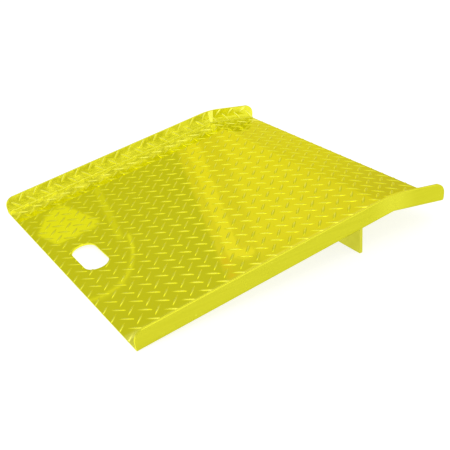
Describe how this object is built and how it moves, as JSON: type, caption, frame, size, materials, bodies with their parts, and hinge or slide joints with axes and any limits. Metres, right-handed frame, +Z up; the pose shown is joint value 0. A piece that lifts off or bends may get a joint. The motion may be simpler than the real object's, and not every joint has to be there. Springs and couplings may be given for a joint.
{
  "type": "kerb ramp",
  "caption": "Portable kerb ramp folded from one sheet of tread plate, with side curbs, a down-turned top lip, a hand hole and a leg bar across its underside.",
  "frame": {"origin": "floor level, under the middle of the ramp's bounding box, with the ramp standing on its low edge and on its leg", "axes": "+X up the ramp from the low edge to the lip, +Y across to the left-hand curb, +Z up from the floor"},
  "size_m": [0.6708, 0.686, 0.0965],
  "materials": {
    "coated_plate": "glossy clear yellow coat over bright aluminium tread plate",
    "coated_bar": "glossy clear yellow coat over mill-finish aluminium bar",
    "coated_weld": "glossy clear yellow coat over dressed weld metal"
  },
  "bodies": {
    "root": {"tread_plate": "coated_plate", "right_curb_weld": "coated_weld", "left_curb_weld": "coated_weld", "leg_bar": "coated_bar", "leg_front_welds": "coated_weld", "leg_rear_welds": "coated_weld"}
  },
  "joints": []
}
